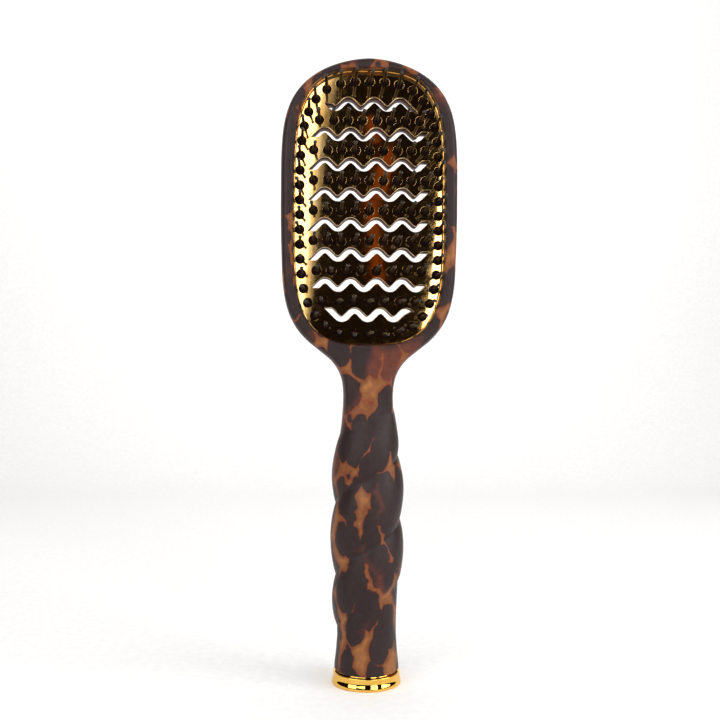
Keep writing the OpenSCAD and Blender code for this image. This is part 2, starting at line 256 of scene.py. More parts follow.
# %% Nylon material
def pin_nylon(name, dark, brown, low, high, shine):
    """Moulded nylon: nearly black with a trace of brown, and soft flow marks in its finish."""
    made, tree, shader, where = new_material(name)
    flow = add(tree, "ShaderNodeTexNoise", {"Vector": where, "Scale": 700, "Detail": 3})
    tint = ramp(add(tree, "ShaderNodeValToRGB", {0: flow}), (0.3, dark), (0.75, brown))
    tree.links.new(tint.outputs[0], shader.inputs["Base Color"])
    gloss = add(tree, "ShaderNodeMapRange", {"Value": flow, "To Min": low, "To Max": high})
    tree.links.new(gloss.outputs[0], shader.inputs["Roughness"])
    bump = add(tree, "ShaderNodeBump", {"Height": flow, "Strength": 0.05, "Distance": 0.00005})
    tree.links.new(bump.outputs[0], shader.inputs["Normal"])
    shader.inputs["Specular IOR Level"].default_value = shine
    return made


# Hair and oil leave the stems matt, so they stay dark in front of the gold.
nylon = pin_nylon("nylon_black_matt_stem", "#0b0707", "#24120d", 0.45, 0.6, 0.03)
# The balls are polished so that they glide over the scalp, and each shows one small highlight.
ball_nylon = pin_nylon("nylon_black_polished_ball", "#0c0808", "#1a0f0d", 0.08, 0.18, 0.4)
print("made", nylon.name, "and", ball_nylon.name)

# %% [markdown]
# ## The outline of the body
# The same rules as in the CAD give the body its width and depth at each height: a rounded-square
# head, a neck, and a round handle. A table is followed by a smooth curve that is level at both ends.

# %% Sizes of the body
TOTAL_H, HEAD_W, HEAD_MID, HEAD_D = 235, 66.4, 179, 12
HANDLE_START, NECK_TOP = 5.2, 118
SIDE = [[98, 9.6], [104, 9.45], [109.8, 9.4], [114.5, 10], [118.5, 11.6], [122.2, 14.5], [125.8, 18.9],
        [129.5, 23.4], [134, 27.2], [140, 30.2], [148.5, 32.1], [160, 32.8], [179, HEAD_W / 2]]
CORE = [[5, 12.2], [13, 11.5], [21, 11.1], [40, 11.7], [55, 12.1], [65, 11.9], [80, 11.5], [90, 10.9],
        [97, 10], [105, 9.45], [110, 9.4]]
DEPTH = [[90, 10.9], [97, 9.9], [105, 8.6], [114, 7.3], [124, 6.3], [132, HEAD_D / 2]]
LOBE = [[15, 1.9], [50, 1.8], [75, 2.1], [85, 1.7], [93, 1.2], [105, 0.8], [112, 0]]
RIGHT_CREASES = [[16, 4], [39, 3], [62.5, 2], [86.5, 1], [105, 0], [125, -1]]
LEFT_CREASES = [[0, 4], [21, 3], [41, 2], [68, 1], [94.5, 0], [119, -1]]
CREASE_LOW, CREASE_HIGH = (39, 21), (105, 94.5)
# Above these heights the width comes from SIDE and the depth from DEPTH, and below them from CORE.
SIDE_FROM, DEPTH_FROM = 104, 90
DOME_POWER, DOME_ROOT = 4.9, 1.75
HEAD_FORWARD, FORWARD_FROM, FORWARD_OVER = 2.5, 92, 36


def curve(z, table):
    """A smooth curve through a table of heights and values."""
    zs, vs = np.array(table, float).T
    slopes = np.zeros(len(zs))
    slopes[1:-1] = (vs[2:] - vs[:-2]) / (zs[2:] - zs[:-2])
    z = np.clip(z, zs[0], zs[-1])
    i = np.clip(np.searchsorted(zs, z, side="right") - 1, 0, len(zs) - 2)
    gap = zs[i + 1] - zs[i]
    t = (z - zs[i]) / gap
    return ((1 + 2 * t) * (1 - t) ** 2 * vs[i] + t * (1 - t) ** 2 * gap * slopes[i]
            + t * t * (3 - 2 * t) * vs[i + 1] + t * t * (t - 1) * gap * slopes[i + 1])


def ease(t):
    """0 to 1 with level ends."""
    t = np.clip(t, 0, 1)
    return t * t * (3 - 2 * t)


def half_width(z):
    """Half the outline's width at height z."""
    z = np.asarray(z, float)
    part = np.clip((z - HEAD_MID) / (TOTAL_H - HEAD_MID), 0, 1)
    dome = HEAD_W / 2 * (1 - part ** DOME_POWER) ** (1 / DOME_ROOT)
    return np.where(z > HEAD_MID, dome, np.where(z > SIDE_FROM, curve(z, SIDE), curve(z, CORE)))


def half_depth(z):
    """Half the body's depth at height z."""
    return np.where(np.asarray(z) > DEPTH_FROM, curve(z, DEPTH), curve(z, CORE))


def middle_y(z):
    """The body's parting line: the head stands 2.5 mm further forward than the handle."""
    return -HEAD_FORWARD * ease((np.asarray(z, float) - FORWARD_FROM) / FORWARD_OVER)


def lean(z):
    """How much longer the outline is than its height at z, which keeps the rolled edge even."""
    return np.sqrt(1 + ((half_width(z + 0.05) - half_width(z - 0.05)) / 0.1) ** 2)


print("widest", 2 * float(half_width(179)), "mm, neck", round(2 * float(half_width(108)), 1), "mm")

# %% [markdown]
# ## The twist of the handle
# The handle is a thick two-start twist. Each crease starts on the right side and runs down and round
# the front to the left. Its height on each side comes from a table, and between the creases the
# surface swells. A sine wave raised to a power below one gives full lobes with narrow creases.

# %% How far the lobes stand out
LOBE_POWER, FADE = 0.75, 6


def lobe(z, turn):
    """The swelling at height z, where turn is in degrees from the right edge, round the front."""
    right, left = curve(z, RIGHT_CREASES), curve(z, LEFT_CREASES)
    gap = right - left
    back = turn - 180
    hidden = back / 180 - np.sin(2 * np.radians(back)) / (2 * math.pi)
    count = np.where(turn <= 180, right + (left - right) * turn / 180,
                     left - gap * back / 180 - (2 - 2 * gap) * hidden)
    side = (1 - np.cos(np.radians(turn))) / 2
    low = CREASE_LOW[0] + (CREASE_LOW[1] - CREASE_LOW[0]) * side
    high = CREASE_HIGH[0] + (CREASE_HIGH[1] - CREASE_HIGH[0]) * side
    swell = np.abs(np.sin(math.pi * count)) ** LOBE_POWER
    return curve(z, LOBE) * swell * ease((z - low) / FADE + 0.5) * ease((high - z) / FADE + 0.5)


print("most swelling", round(float(lobe(50.0, np.linspace(0, 359, 720)).max()), 2), "mm")

# %% [markdown]
# ## A tool for pierced sheets
# The plate, the front of the head and its back are all sheets with holes. Blender's Delaunay tool
# fills the space between outlines with triangles, around points laid on a loose grid. The grid
# points let the sheet be domed, and the outlines stay exactly as drawn.

# %% Triangles between outlines
def distances(path):
    """How far along a path each of its points lies."""
    return np.concatenate([[0], np.cumsum(np.hypot(*np.diff(path, axis=0).T))])


def spots_at(path, run, at):
    """The places on a path at these distances, where run is the distance of each of its points."""
    return np.stack([np.interp(at, run, path[:, 0]), np.interp(at, run, path[:, 1])], 1)


def even(loop, count):
    """A closed loop's points at even distances along it."""
    closed = np.vstack([loop, loop[:1]])
    run = distances(closed)
    return spots_at(closed, run, np.linspace(0, run[-1], count, endpoint=False))


def oval(a, b, mid, count):
    """A rounded-square oval, |x/a|^3 + |z/b|^4 = 1, anticlockwise seen from the front."""
    t = np.linspace(0, 2 * math.pi, 2000, endpoint=False) + math.pi / 2
    c, s = np.cos(t), np.sin(t)
    loop = np.stack([a * np.sign(c) * abs(c) ** (2 / 3), mid + b * np.sign(s) * abs(s) ** (2 / 4)], 1)
    return even(loop, count)


def outward(loop):
    """The unit direction out of an anticlockwise loop at each of its points."""
    along = np.roll(loop, -1, 0) - np.roll(loop, 1, 0)
    along /= np.maximum(np.hypot(*along.T), 1e-9)[:, None]
    return np.stack([along[:, 1], -along[:, 0]], 1)


def inside(points, loop):
    """Which points lie inside a loop."""
    x, z = points[:, :1], points[:, 1:]
    ax, az = loop.T
    bx, bz = np.roll(loop, -1, 0).T
    crossing = ((az > z) != (bz > z)) & (x < (bx - ax) * (z - az) / np.where(bz == az, 1e-12, bz - az) + ax)
    return crossing.sum(1) % 2 == 1


def fill(rim, holes, step):
    """Fills the space between a rim and holes with triangles. Returns their points and corners."""
    loops = [rim, *holes]
    edge = np.vstack(loops)
    low, high = rim.min(0), rim.max(0)
    gx, gz = np.meshgrid(np.arange(low[0], high[0], step), np.arange(low[1], high[1], step * 0.87))
    gx[1::2] += step / 2
    loose = np.stack([gx.ravel(), gz.ravel()], 1)
    loose = loose[inside(loose, rim)]
    for hole in holes:
        near = (np.abs(loose - hole.mean(0)) < np.ptp(hole, axis=0) / 2 + step).all(1)
        keep = np.ones(len(loose), bool)
        keep[near] = ~inside(loose[near], hole)
        loose = loose[keep]
    apart = np.array([np.min(np.sum((edge - p) ** 2, 1)) for p in loose])
    loose = loose[apart > (0.45 * step) ** 2]
    every = np.vstack([edge, loose])
    edges, start = [], 0
    for loop in loops:
        n = len(loop)
        edges += [(start + i, start + (i + 1) % n) for i in range(n)]
        start += n
    points, _, faces, *_ = delaunay_2d_cdt([Vector(p) for p in every], edges, [], 0, 1e-6)
    points, faces = np.array(points), np.array([list(f) for f in faces])
    middles = points[faces].mean(1)
    keep = inside(middles, rim)
    for hole in holes:
        near = keep & (np.abs(middles - hole.mean(0)) < np.ptp(hole, axis=0) / 2 + step).all(1)
        keep[near] = ~inside(middles[near], hole)
    return points, faces[keep]


class Build:
    """Collects the points and faces of one piece."""

    def __init__(self):
        self.points, self.faces = [], []

    def rows(self, rows, closed=False):
        """Joins rows of points, each the same length, with quads."""
        start, n = len(self.points), len(rows[0])
        for row in rows:
            self.points += [tuple(p) for p in row]
        for r in range(len(rows) - 1):
            for i in range(n if closed else n - 1):
                a, b = start + r * n + i, start + r * n + (i + 1) % n
                self.faces.append((a, b, b + n, a + n))

    def sheet(self, points, faces, depth):
        """Adds a filled sheet, with its depth from front to back worked out at each point."""
        start = len(self.points)
        ys = depth(points[:, 0], points[:, 1])
        self.points += [(x, y, z) for (x, z), y in zip(points, ys)]
        self.faces += [tuple(start + i for i in f) for f in faces]

    def wall(self, loop, steps):
        """Follows a loop through steps of (offset, y), where y may be a function of x and z."""
        out = outward(loop)
        rows = []
        for offset, y in steps:
            moved = loop + out * offset
            ys = y(moved[:, 0], moved[:, 1]) if callable(y) else np.full(len(moved), y)
            rows.append(np.stack([moved[:, 0], ys, moved[:, 1]], 1))
        self.rows(rows, closed=True)


print("an oval of half sizes 1 and 2 is", np.ptp(oval(1, 2, 0, 240), axis=0).round(2), "across")

# %% [markdown]
# ## The zigzag air slots
# Eight slots run right through the head between the rows of pins. Each is a 2.2 mm band that
# zigzags at 45 degrees with round turns. Its ends are cut level, so they come to a point.

# %% Outlines of the slots
# Points are this far apart, a slot's end is at least this far past its last turn, and the slots
# sit this much above the middle between two rows of pins.
SLOT_STEP, PAST_TURN, SLOT_LIFT = 0.3, 2.4, 0.5
ROW_Z, ROW_PITCH, SLOT_W, ZIG, ZIG_R, SLOT_PEAK = 178, 11.3, 2.2, 9.75, 2.1, 2.7
SLOT_SHIFTS = [-1.0, -0.1, 0, 0, 0.1, 0.2, 0.3, 1.75]
SLOT_TIPS = [(-17.2, 18.0), (-22.2, 22.4), (-23.1, 23.0), (-23.2, 23.2), (-23.3, 23.0), (-22.9, 22.8),
             (-21.8, 21.8), (-16.8, 17.0)]


def band_edge(x, peak, side):
    """Height of the zigzag band's upper (side 1) or lower (side -1) edge at x."""
    from_peak = np.abs((x - peak + ZIG / 2) % ZIG - ZIG / 2)
    from_low = ZIG / 2 - from_peak
    top = ZIG / 4 - ZIG_R * math.sqrt(2)
    over, under = ZIG_R + SLOT_W / 2, ZIG_R - SLOT_W / 2
    at_peak, at_low = (over, under) if side > 0 else (under, over)
    z = ZIG / 4 - from_peak + side * SLOT_W / math.sqrt(2)
    peak_arc = top + np.sqrt(np.maximum(at_peak ** 2 - from_peak ** 2, 0))
    low_arc = -top - np.sqrt(np.maximum(at_low ** 2 - from_low ** 2, 0))
    z = np.where(from_peak < at_peak / math.sqrt(2), peak_arc, z)
    return np.where(from_low < at_low / math.sqrt(2), low_arc, z)


def slot_loop(number):
    """The outline of slot 0 (top) to 7 (bottom), anticlockwise."""
    peak = SLOT_PEAK + SLOT_SHIFTS[number]
    left, right = SLOT_TIPS[number]
    x = np.arange(left, right + 0.2, SLOT_STEP)
    x[-1] = right
    upper, lower = band_edge(x, peak, 1), band_edge(x, peak, -1)
    turns = peak + ZIG / 2 * np.arange(-8, 9)
    reach, near = ZIG / 4 + SLOT_W / math.sqrt(2), ZIG / 4 - SLOT_W / math.sqrt(2)
    crest = ZIG / 4 - ZIG_R * math.sqrt(2) + ZIG_R + SLOT_W / 2
    for tip, way in ((left, -1), (right, 1)):
        inner_turns = [t for t in turns if 0 < t * way <= tip * way - PAST_TURN]
        last = max(inner_turns, key=lambda t: t * way)
        up = 1 if round((last - peak) / (ZIG / 2)) % 2 == 0 else -1
        past = (x - last) * way
        # The outer edge runs on straight, and the inner one stops at the level of the tip.
        level = max(reach - (tip - last) * way, -crest)
        outer, inner = np.maximum(reach - past, level), np.maximum(near - past, level)
        outer_far = past > (ZIG_R + SLOT_W / 2) / math.sqrt(2)
        inner_far = past > (ZIG_R - SLOT_W / 2) / math.sqrt(2)
        if up > 0:
            upper, lower = np.where(outer_far, outer, upper), np.where(inner_far, inner, lower)
        else:
            lower, upper = np.where(outer_far, -outer, lower), np.where(inner_far, -inner, upper)
    ring = np.vstack([np.stack([x, lower], 1), np.stack([x, upper], 1)[::-1]])
    ring = ring[np.hypot(*(ring - np.roll(ring, 1, 0)).T) > 0.05]
    ring = even(ring, int(len(ring) * 1.1))
    ring = (ring * 2 + np.roll(ring, 1, 0) + np.roll(ring, -1, 0)) / 4
    return ring + [0, ROW_Z + ROW_PITCH * (3.5 - number) + SLOT_LIFT]


slots = [slot_loop(i) for i in range(8)]
print("slot outlines:", [len(s) for s in slots], "points")

# %% [markdown]
# ## The two halves of the body
# Each half is one skin in three parts that share their edges: rings up the handle and neck, a strip
# rolled round the rim of the head, and a filled sheet for the flat of the head. The front half has a
# wide opening with a small rounded lip. The back half has the slots, with walls that go inwards.

# %% Rings of the handle and the neck
ACROSS, ROLL_STEPS = 60, 12
SLAB_FROM, SLAB_OVER, MOST_ROLL = 88, 26, 0.85
FOOT_ROUND, FOOT_R, SPIGOT_SHARE = 0.6, 12, 0.66


def roll_profile(radius):
    """Steps of the rolled edge: how far in from the outline, and what part of the depth."""
    a = np.linspace(0, math.pi / 2, ROLL_STEPS + 1)
    return radius * (1 - np.cos(a) ** 0.8), np.sin(a) ** 0.8


def half_ring(z, radius, side):
    """One ring of a half at height z, from the right edge over to the left. Side is -1 in front."""
    w, d = float(half_width(z)), float(half_depth(z))
    ins, ups = roll_profile(radius)
    ins = np.minimum(ins * lean(z), MOST_ROLL * w)
    flat = np.linspace(1, -1, ACROSS - 2 * ROLL_STEPS + 1) * (w - ins[-1])
    slab_x = np.concatenate([w - ins[:-1], flat, (ins[:-1] - w)[::-1]])
    slab_y = np.concatenate([ups[:-1], np.ones(len(flat)), ups[:-1][::-1]]) * d
    t = np.linspace(0, math.pi, ACROSS + 1)
    blend = ease((z - SLAB_FROM) / SLAB_OVER)
    x = w * np.cos(t) * (1 - blend) + slab_x * blend
    y = d * np.sin(t) * (1 - blend) + slab_y * blend
    turn = np.degrees(np.arctan2(y, x)) if side < 0 else 360 - np.degrees(np.arctan2(y, x))
    grow = 1 + lobe(z, turn) / np.hypot(x, y)
    return np.stack([x * grow, middle_y(z) + side * y * grow, np.full(len(x), z)], 1)


def stem_rows(radius, side):
    """All the rings from the neck down to the rounded bottom edge, which turns in to the spigot."""
    heights = np.linspace(NECK_TOP, HANDLE_START + FOOT_ROUND, 230)
    rows = [half_ring(z, radius, side) for z in heights]
    x, y, _ = rows[-1].T
    for a in np.linspace(0, math.pi / 2, 6)[1:]:
        shrink = 1 - FOOT_ROUND * (1 - math.cos(a)) / FOOT_R
        z = HANDLE_START + FOOT_ROUND * (1 - math.sin(a))
        rows.append(np.stack([x * shrink, y * shrink, np.full(len(x), z)], 1))
    bottom = np.full(len(x), HANDLE_START)
    rows.append(np.stack([x * SPIGOT_SHARE, y * SPIGOT_SHARE, bottom], 1))
    return rows


print(len(stem_rows(2.6, -1)), "rings up the stem")

# %% The strip round the head's rim
TANGENT_REACH, NECK_FADE = 0.4, 9


def head_outline(count=420):
    """Points up the left side of the head from the neck, over the top, and down the right."""
    # The heights crowd together towards the crown, where the outline runs nearly level.
    rising = NECK_TOP + (TOTAL_H - NECK_TOP) * np.sin(np.linspace(0, math.pi / 2, 3000)) ** 0.5
    crown = TOTAL_H - 2 * np.linspace(1, 0, 2000) ** 4
    z = np.unique(np.concatenate([rising, np.linspace(NECK_TOP, TOTAL_H, 3000), crown]))
    left, right = np.stack([-half_width(z), z], 1), np.stack([half_width(z), z], 1)
    path = np.concatenate([left, right[::-1][1:]])
    run = distances(path)
    at = np.linspace(0, run[-1], count)
    spots = spots_at(path, run, at)
    ahead, behind = np.minimum(at + TANGENT_REACH, run[-1]), np.maximum(at - TANGENT_REACH, 0)
    along = spots_at(path, run, ahead) - spots_at(path, run, behind)
    along /= np.hypot(*along.T)[:, None]
    return spots, np.stack([along[:, 1], -along[:, 0]], 1)


def rim_rows(radius, side):
    """The rolled strip, row by row from the outline in to the flat of the head."""
    spots, inward = head_outline()
    level = np.stack([-np.sign(spots[:, 0]), np.zeros(len(spots))], 1) * lean(spots[:, 1])[:, None]
    near_neck = 1 - ease((spots[:, 1] - NECK_TOP) / NECK_FADE)[:, None]
    push = inward * (1 - near_neck) + np.where(near_neck > 0, level, 0) * near_neck
    rows = []
    for inset, share in zip(*roll_profile(radius)):
        moved = spots + push * inset
        moved[0, 1] = moved[-1, 1] = NECK_TOP
        y = middle_y(moved[:, 1]) + side * share * half_depth(moved[:, 1])
        rows.append(np.stack([moved[:, 0], y, moved[:, 1]], 1))
    return rows


def flat_rim(radius, side):
    """The closed loop round the flat of the head: the strip's inner edge and the neck's last ring."""
    inner = rim_rows(radius, side)[-1][:, [0, 2]]
    across = half_ring(NECK_TOP, radius, side)[ROLL_STEPS:ACROSS - ROLL_STEPS + 1, [0, 2]]
    return np.vstack([inner, across[1:-1]])[::-1]


print("rim strip:", len(rim_rows(2.6, -1)), "rows")

# %% The front half, with its opening
FRONT_ROLL, BACK_ROLL, LIP = 2.4, 4.2, 0.5
OPEN_A, OPEN_B, OVAL_Z = 28.4, 51.55, 179.15
OPENING_MID, OPENING_END = -5.5, -1.6


def front_face(x, z):
    """The depth of the head's flat front, which is the same all the way across."""
    return middle_y(z) - half_depth(z)


def back_face(x, z):
    """The depth of the head's flat back."""
    return middle_y(z) + half_depth(z)


def rounded(lip, drop, surface, steps, level=0.0):
    """Steps that turn an edge over, sideways from level to lip and away from the surface by drop."""
    return [(level + (lip - level) * math.sin(a),
             lambda x, z, a=a: surface(x, z) + drop * (1 - math.cos(a)))
            for a in np.linspace(0, math.pi / 2, steps)]


front = Build()
front.rows(stem_rows(FRONT_ROLL, -1))
front.rows(rim_rows(FRONT_ROLL, -1))
mouth = oval(OPEN_A, OPEN_B, OVAL_Z, 360)
lip_loop = mouth + outward(mouth) * LIP
front.sheet(*fill(flat_rim(FRONT_ROLL, -1), [lip_loop], 1.6), front_face)
front.wall(lip_loop, [*rounded(-LIP, LIP, front_face, 6), (-LIP, OPENING_MID), (-LIP, OPENING_END)])
front_half = to_mesh("front_half", front.points, front.faces, tortoise)
place(front_half, "tortoise_plastic", "front_shell")

# %% The back half, with its slots
SLOT_LIP, INSIDE_Y, WALL_END = 0.35, -1.5, -1.3
# A slot's walls face sideways or up and down, keep clear of the rim, and lie between these limits.
WALL_TILT, RIM_CLEAR, SLOTS_LOW, SLOTS_HIGH, SLOTS_BACK = 0.2, 5, 133, 226, 2


def in_a_slot(face):
    """Whether a face of the back half is part of a slot's wall."""
    x, y, z = face.center / MM
    in_reach = SLOTS_LOW < z < SLOTS_HIGH and y < SLOTS_BACK
    return in_reach and abs(face.normal.y) < WALL_TILT and abs(x) < half_width(z) - RIM_CLEAR


back = Build()
back.rows(stem_rows(BACK_ROLL, 1))
back.rows(rim_rows(BACK_ROLL, 1))
wide_slots = [s + outward(s) * SLOT_LIP for s in slots]
net, corners = fill(flat_rim(BACK_ROLL, 1), wide_slots, 1.8)
back.sheet(net, corners, back_face)
back.sheet(net, corners, lambda x, z: np.full(len(x), INSIDE_Y))
for ring in wide_slots:
    back.wall(ring, [*rounded(-SLOT_LIP, -SLOT_LIP, back_face, 4), (-SLOT_LIP, WALL_END), (0, INSIDE_Y)])
back_half = to_mesh("back_half", back.points, back.faces, tortoise)
back_half.data.materials.append(backlit_slot_paint)
# The slot walls take the second material, whose lighter colour is painted backlight.
slot_walls = [face for face in back_half.data.polygons if in_a_slot(face)]
for face in slot_walls:
    face.material_index = 1
print("faces inside the slots:", len(slot_walls))
place(back_half, "tortoise_plastic", "back_shell")

# %% [markdown]
# ## The gold plate
# The plate is a thin shell that lies 0.3 mm inside the opening. Its face is slightly domed, so the
# sides catch the lamps while the middle stays dark, and a small raised bead runs round its rim. Each
# pin hole and slot has a tiny rounded lip. A mirror shows every fault in the shading, so a narrow
# strip beside each lip stays level with the face and keeps the face's reflections straight.

# %% Where the pins stand
RING_A, RING_B, RING_Z, RING_COUNT = 26.1, 47.4, 179.1, 46
ROW_COUNTS = [8, 9, 9, 9, 9, 8, 7]
ROW_SPACINGS = [5.4, 5.25, 5.25, 5.25, 5.25, 5.65, 5.8]
ring_spots = even(oval(RING_A, RING_B, RING_Z, 2400), RING_COUNT)
row_spots = [np.array([((k - (n - 1) / 2) * gap, ROW_Z + ROW_PITCH * (3 - i)) for k in range(n)])
             for i, (n, gap) in enumerate(zip(ROW_COUNTS, ROW_SPACINGS))]
pin_spots = np.vstack([ring_spots, *row_spots])
print("pins:", len(pin_spots))

# %% The plate's skin
PLATE_A, PLATE_B, PLATE_FACE, PLATE_BACK, PLATE_DOME = 28.1, 51.25, -4.5, -3.3, 0.55
HOLE_R, HOLE_LIP, SLIT_LIP, LEVEL_STRIP = 1.8, 0.08, 0.10, 0.03
RIM_INSET, BEAD_HALF, BEAD_H = 0.06, 0.14, 0.55


def plate_face(x, z):
    """The plate's domed face: level in the middle, and falling away towards its sides."""
    sides, ends = np.abs(x / PLATE_A) ** 4, np.abs((z - OVAL_Z) / PLATE_B) ** 6
    return PLATE_FACE + PLATE_DOME * sides + PLATE_DOME * ends


def pierced(lip):
    """Steps into a hole in the plate: the level strip, the rounded lip and the wall."""
    return [(0, plate_face), *rounded(-lip, lip, plate_face, 3, -LEVEL_STRIP), (-lip, PLATE_BACK)]


plate = Build()
rim = oval(PLATE_A - RIM_INSET, PLATE_B - RIM_INSET, OVAL_Z, 420)
angles = np.linspace(0, 2 * math.pi, 28, endpoint=False)
rings = [spot + (HOLE_R + HOLE_LIP) * np.stack([np.cos(angles), np.sin(angles)], 1) for spot in pin_spots]
plate_slots = [s + outward(s) * SLIT_LIP for s in slots]
plate.sheet(*fill(rim, rings + plate_slots, 1.0), plate_face)
for ring in rings:
    plate.wall(ring, pierced(HOLE_LIP))
for ring in plate_slots:
    plate.wall(ring, pierced(SLIT_LIP))
bead = [(LEVEL_STRIP + BEAD_HALF * (1 - math.cos(b)),
         lambda x, z, b=b: plate_face(x, z) - BEAD_H * math.sin(b))
        for b in np.linspace(0, math.pi, 13)]
plate.wall(rim, [(0, plate_face), *bead, (LEVEL_STRIP + 2 * BEAD_HALF, PLATE_BACK)])
gold_plate = to_mesh("gold_plate", plate.points, plate.faces, plate_gold)
place(gold_plate, "gold_plate", "vent_plate")

# %% [markdown]
# ## The pins, with Geometry Nodes
# All 105 pins are alike: a round foot in its hole, a thin stem and a ball tip. So one small pin is
# built inside a node tree and put on points: along a straight line for a row, and at even steps
# round an oval for the four arcs. Each pin leans a little its own way, as real ones do, from a fixed
# seed. Only the ball gets the polished material, picked out by how far forward its faces are.

# %% The tree for one pin, shared by rows and arcs
def group_with(name, sizes):
    """A Geometry Nodes tree with these number inputs and two materials. Returns it and its input node."""
    tree = bpy.data.node_groups.new(name, "GeometryNodeTree")
    tree.interface.new_socket("Geometry", in_out="INPUT", socket_type="NodeSocketGeometry")
    for label, value in sizes:
        kind = "NodeSocketInt" if isinstance(value, int) else "NodeSocketFloat"
        tree.interface.new_socket(label, in_out="INPUT", socket_type=kind).default_value = value
    tree.interface.new_socket("Material", in_out="INPUT", socket_type="NodeSocketMaterial")
    tree.interface.new_socket("Ball material", in_out="INPUT", socket_type="NodeSocketMaterial")
    tree.interface.new_socket("Geometry", in_out="OUTPUT", socket_type="NodeSocketGeometry")
    return tree, tree.nodes.new("NodeGroupInput")


FOOT_Y, TIP_Y, STEM_FOOT_R, FOOT_FLATNESS, BALL_REACH = -3.9, -21.0, 0.72, 0.22, 2.1
STRIP_Y, STRIP_T, STRIP_H = -2.4, 1.7, 3.3
PIN_SIZES = [("Foot radius", 1.65 * MM), ("Stem radius", 0.45 * MM), ("Ball radius", 0.70 * MM),
             ("Foot y", FOOT_Y * MM), ("Tip y", TIP_Y * MM), ("Lean", 0.035), ("Seed", 7)]


def pin_in(tree, sizes):
    """One pin that points along -Y: a flat domed foot, a tapering stem and a ball."""
    quarter_turn = (math.pi / 2, 0, 0)
    stem_y = maths(tree, "ADD", sizes.outputs["Tip y"], sizes.outputs["Ball radius"])
    length = maths(tree, "SUBTRACT", sizes.outputs["Foot y"], stem_y)
    foot = add(tree, "GeometryNodeMeshUVSphere",
               {"Segments": 14, "Rings": 7, "Radius": sizes.outputs["Foot radius"]})
    foot_at = add(tree, "ShaderNodeCombineXYZ", {1: sizes.outputs["Foot y"]})
    foot = add(tree, "GeometryNodeTransform",
               {"Geometry": foot.outputs[0], "Translation": foot_at, "Rotation": quarter_turn,
                "Scale": (1, 1, FOOT_FLATNESS)})
    stem = add(tree, "GeometryNodeMeshCone",
               {"Vertices": 8, "Side Segments": 2, "Radius Top": sizes.outputs["Stem radius"],
                "Radius Bottom": STEM_FOOT_R * MM, "Depth": length}, fill_type="NONE")
    stem = add(tree, "GeometryNodeTransform",
               {"Geometry": stem.outputs[0], "Translation": foot_at, "Rotation": quarter_turn})
    ball = add(tree, "GeometryNodeMeshUVSphere",
               {"Segments": 10, "Rings": 7, "Radius": sizes.outputs["Ball radius"]})
    ball_at = add(tree, "ShaderNodeCombineXYZ", {1: stem_y})
    ball = add(tree, "GeometryNodeTransform", {"Geometry": ball.outputs[0], "Translation": ball_at})
    pin = add(tree, "GeometryNodeJoinGeometry")
    for part in (foot, stem, ball):
        tree.links.new(part.outputs[0], pin.inputs[0])
    return pin


def finish_tree(tree, sizes, points, pin, strip):
    """Puts leaning pins on the points, adds the strip behind them, and closes the tree."""
    lean_low = maths(tree, "MULTIPLY", sizes.outputs["Lean"], -1.0)
    low = add(tree, "ShaderNodeCombineXYZ", {0: lean_low, 2: lean_low})
    high = add(tree, "ShaderNodeCombineXYZ", {0: sizes.outputs["Lean"], 2: sizes.outputs["Lean"]})
    tilt = add(tree, "FunctionNodeRandomValue", data_type="FLOAT_VECTOR")
    tree.links.new(low.outputs[0], tilt.inputs[0])
    tree.links.new(high.outputs[0], tilt.inputs[1])
    tree.links.new(sizes.outputs["Seed"], tilt.inputs["Seed"])
    pins = add(tree, "GeometryNodeInstanceOnPoints",
               {"Points": points, "Instance": pin, "Rotation": tilt.outputs[0]})
    both = add(tree, "GeometryNodeJoinGeometry")
    tree.links.new(pins.outputs[0], both.inputs[0])
    tree.links.new(strip, both.inputs[0])
    real = add(tree, "GeometryNodeRealizeInstances", {0: both})
    smooth = add(tree, "GeometryNodeSetShadeSmooth", {0: real})
    painted = add(tree, "GeometryNodeSetMaterial",
                  {"Geometry": smooth, "Material": sizes.outputs["Material"]})
    spot = add(tree, "ShaderNodeSeparateXYZ", {0: add(tree, "GeometryNodeInputPosition")})
    ball_end = maths(tree, "MULTIPLY_ADD", sizes.outputs["Ball radius"], BALL_REACH,
                     sizes.outputs["Tip y"])
    at_ball = maths(tree, "LESS_THAN", spot.outputs[1], ball_end)
    tipped = add(tree, "GeometryNodeSetMaterial",
                 {"Geometry": painted, "Selection": at_ball, "Material": sizes.outputs["Ball material"]})
    end = tree.nodes.new("NodeGroupOutput")
    tree.links.new(tipped.outputs[0], end.inputs[0])


def run_tree(name, tree, values, material):
    """Runs a tree on an empty mesh with these inputs, and returns the result as a plain mesh object."""
    start = put_in_scene(name + "_start", bpy.data.meshes.new(name + "_start"))
    modifier = start.modifiers.new("pins", "NODES")
    modifier.node_group = tree
    wanted = {**values, "Material": material, "Ball material": ball_nylon}
    for item in tree.interface.items_tree:
        if item.item_type == "SOCKET" and item.in_out == "INPUT" and item.name in wanted:
            modifier[item.identifier] = wanted[item.name]
    ready = start.evaluated_get(bpy.context.evaluated_depsgraph_get())
    mesh = bpy.data.meshes.new_from_object(ready)
    bpy.data.objects.remove(start)
    mesh.name = name
    piece = put_in_scene(name, mesh)
    print(name, "has", len(mesh.polygons), "faces")
    return piece


print("pin length", round(FOOT_Y - TIP_Y, 2), "mm from its foot")

